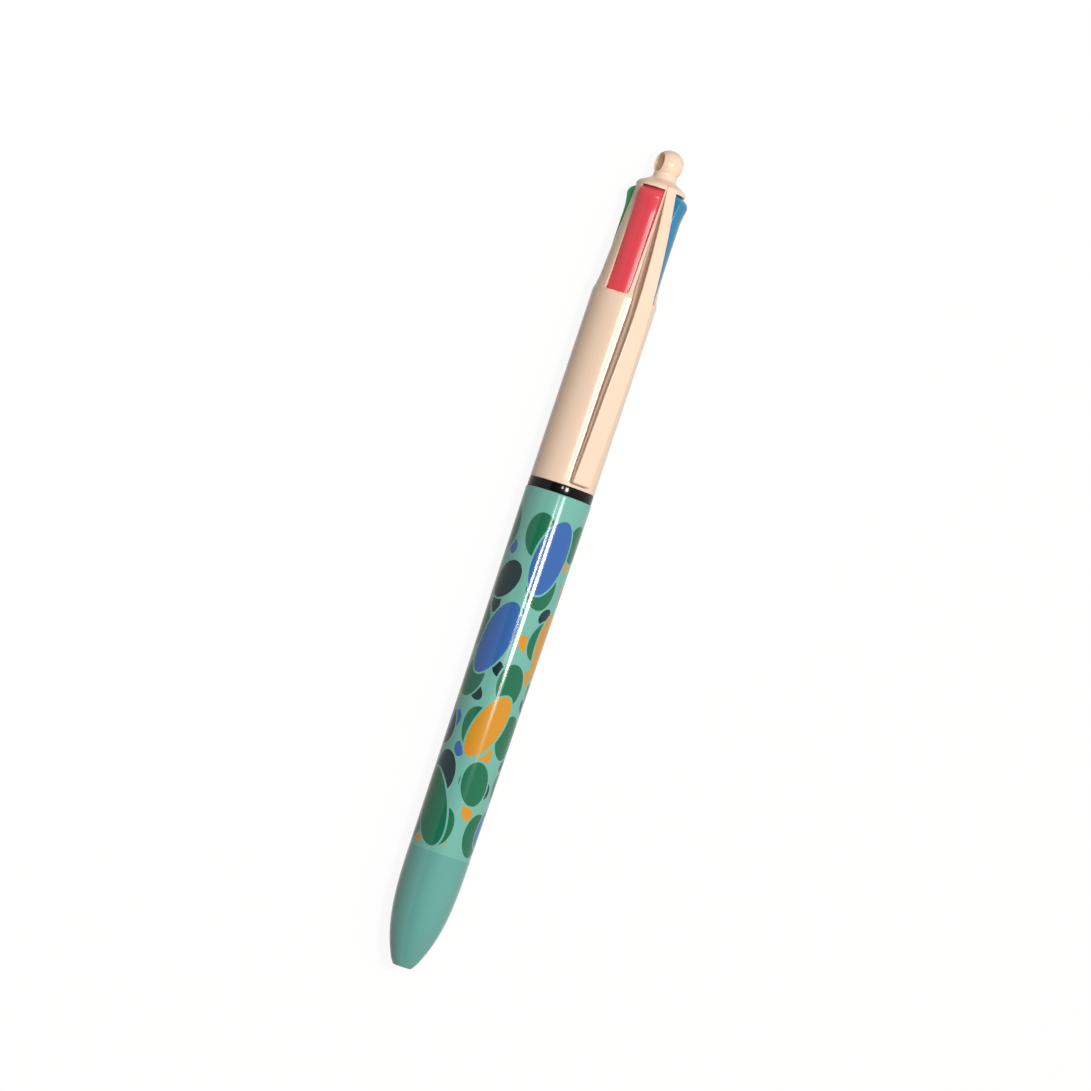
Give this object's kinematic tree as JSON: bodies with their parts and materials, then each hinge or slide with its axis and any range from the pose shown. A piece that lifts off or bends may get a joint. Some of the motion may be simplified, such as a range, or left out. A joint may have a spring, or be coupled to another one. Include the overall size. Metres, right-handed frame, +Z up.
{
  "type": "multicolour ballpoint pen",
  "caption": "Multicolour ballpoint pen with sliding colour buttons, a pocket clip, a lanyard ball and a screw-off lower barrel.",
  "frame": {"origin": "middle of the pen's length, on the axis, at the height of the lowest point of the barrel", "axes": "+X along the pen from the ball to the writing end, +Z up to the clip, +Y across it"},
  "size_m": [0.144, 0.0114, 0.0147],
  "materials": {
    "turquoise_plastic": "printed, glossy",
    "black_gloss": "glossy",
    "cream_plastic": "glossy",
    "natural_plastic": "moulded, plain",
    "red_plastic": "glossy",
    "blue_plastic": "glossy",
    "black_plastic": "glossy",
    "green_plastic": "glossy",
    "spring_steel": "drawn wire",
    "clear_tube": "translucent tube",
    "red_ink": "oil ink",
    "blue_ink": "oil ink",
    "black_ink": "oil ink",
    "green_ink": "oil ink",
    "brass_point": "turned",
    "carbide_ball": "polished"
  },
  "bodies": {
    "upper_body": {"upper_barrel": "cream_plastic", "crown": "cream_plastic", "clip": "cream_plastic", "guide_core": "natural_plastic", "spring_seat": "natural_plastic", "red_spring": "spring_steel", "blue_spring": "spring_steel", "black_spring": "spring_steel", "green_spring": "spring_steel"},
    "ring_body": {"trim_ring": "black_gloss"},
    "lower_body": {"lower_barrel": "turquoise_plastic"},
    "red_slider_body": {"red_slider": "red_plastic"},
    "red_refill_body": {"red_refill_tube": "clear_tube", "red_ink": "red_ink", "red_point": "brass_point", "red_point_ball": "carbide_ball"},
    "blue_slider_body": {"blue_slider": "blue_plastic"},
    "blue_refill_body": {"blue_refill_tube": "clear_tube", "blue_ink": "blue_ink", "blue_point": "brass_point", "blue_point_ball": "carbide_ball"},
    "black_slider_body": {"black_slider": "black_plastic"},
    "black_refill_body": {"black_refill_tube": "clear_tube", "black_ink": "black_ink", "black_point": "brass_point", "black_point_ball": "carbide_ball"},
    "green_slider_body": {"green_slider": "green_plastic"},
    "green_refill_body": {"green_refill_tube": "clear_tube", "green_ink": "green_ink", "green_point": "brass_point", "green_point_ball": "carbide_ball"}
  },
  "joints": [
    {"name": "barrel_turn", "type": "hinge", "parent": "upper_body", "child": "ring_body", "pos_m": [-0.01095, 0, 0.00575], "axis": [1, 0, 0], "range_deg": [0, 1441]},
    {"name": "barrel_unscrew", "type": "slide", "parent": "ring_body", "child": "lower_body", "axis": [1, 0, 0], "range_m": [0, 0.005]},
    {"name": "red_slide", "type": "slide", "parent": "upper_body", "child": "red_slider_body", "axis": [1, 0, 0], "range_m": [0, 0.009], "stiffness_N_per_m": 80, "springref_m": -0.003, "deforming": ["red_spring"]},
    {"name": "red_refill_lean", "type": "hinge", "parent": "red_slider_body", "child": "red_refill_body", "pos_m": [-0.03955, -0.00191, 0.00766], "axis": [0, 0.7071, 0.7071], "range_deg": [0, 1.56], "deforming": ["red_refill_tube", "red_ink", "red_point", "red_point_ball"]},
    {"name": "blue_slide", "type": "slide", "parent": "upper_body", "child": "blue_slider_body", "axis": [1, 0, 0], "range_m": [0, 0.009], "stiffness_N_per_m": 80, "springref_m": -0.003, "deforming": ["blue_spring"]},
    {"name": "blue_refill_lean", "type": "hinge", "parent": "blue_slider_body", "child": "blue_refill_body", "pos_m": [-0.03955, 0.00191, 0.00766], "axis": [0, 0.7071, -0.7071], "range_deg": [0, 1.56], "deforming": ["blue_refill_tube", "blue_ink", "blue_point", "blue_point_ball"]},
    {"name": "black_slide", "type": "slide", "parent": "upper_body", "child": "black_slider_body", "axis": [1, 0, 0], "range_m": [0, 0.009], "stiffness_N_per_m": 80, "springref_m": -0.003, "deforming": ["black_spring"]},
    {"name": "black_refill_lean", "type": "hinge", "parent": "black_slider_body", "child": "black_refill_body", "pos_m": [-0.03955, 0.00191, 0.00384], "axis": [0, -0.7071, -0.7071], "range_deg": [0, 1.56], "deforming": ["black_refill_tube", "black_ink", "black_point", "black_point_ball"]},
    {"name": "green_slide", "type": "slide", "parent": "upper_body", "child": "green_slider_body", "axis": [1, 0, 0], "range_m": [0, 0.009], "stiffness_N_per_m": 80, "springref_m": -0.003, "deforming": ["green_spring"]},
    {"name": "green_refill_lean", "type": "hinge", "parent": "green_slider_body", "child": "green_refill_body", "pos_m": [-0.03955, -0.00191, 0.00384], "axis": [0, -0.7071, 0.7071], "range_deg": [0, 1.56], "deforming": ["green_refill_tube", "green_ink", "green_point", "green_point_ball"]}
  ],
  "couplings": [
    {"joint": "barrel_turn", "follows": "barrel_unscrew", "rad_per_m": 5026.5},
    {"joint": "red_refill_lean", "follows": "red_slide", "rad_per_m": 2.9857},
    {"joint": "blue_refill_lean", "follows": "blue_slide", "rad_per_m": 2.9857},
    {"joint": "black_refill_lean", "follows": "black_slide", "rad_per_m": 2.9857},
    {"joint": "green_refill_lean", "follows": "green_slide", "rad_per_m": 2.9857}
  ]
}
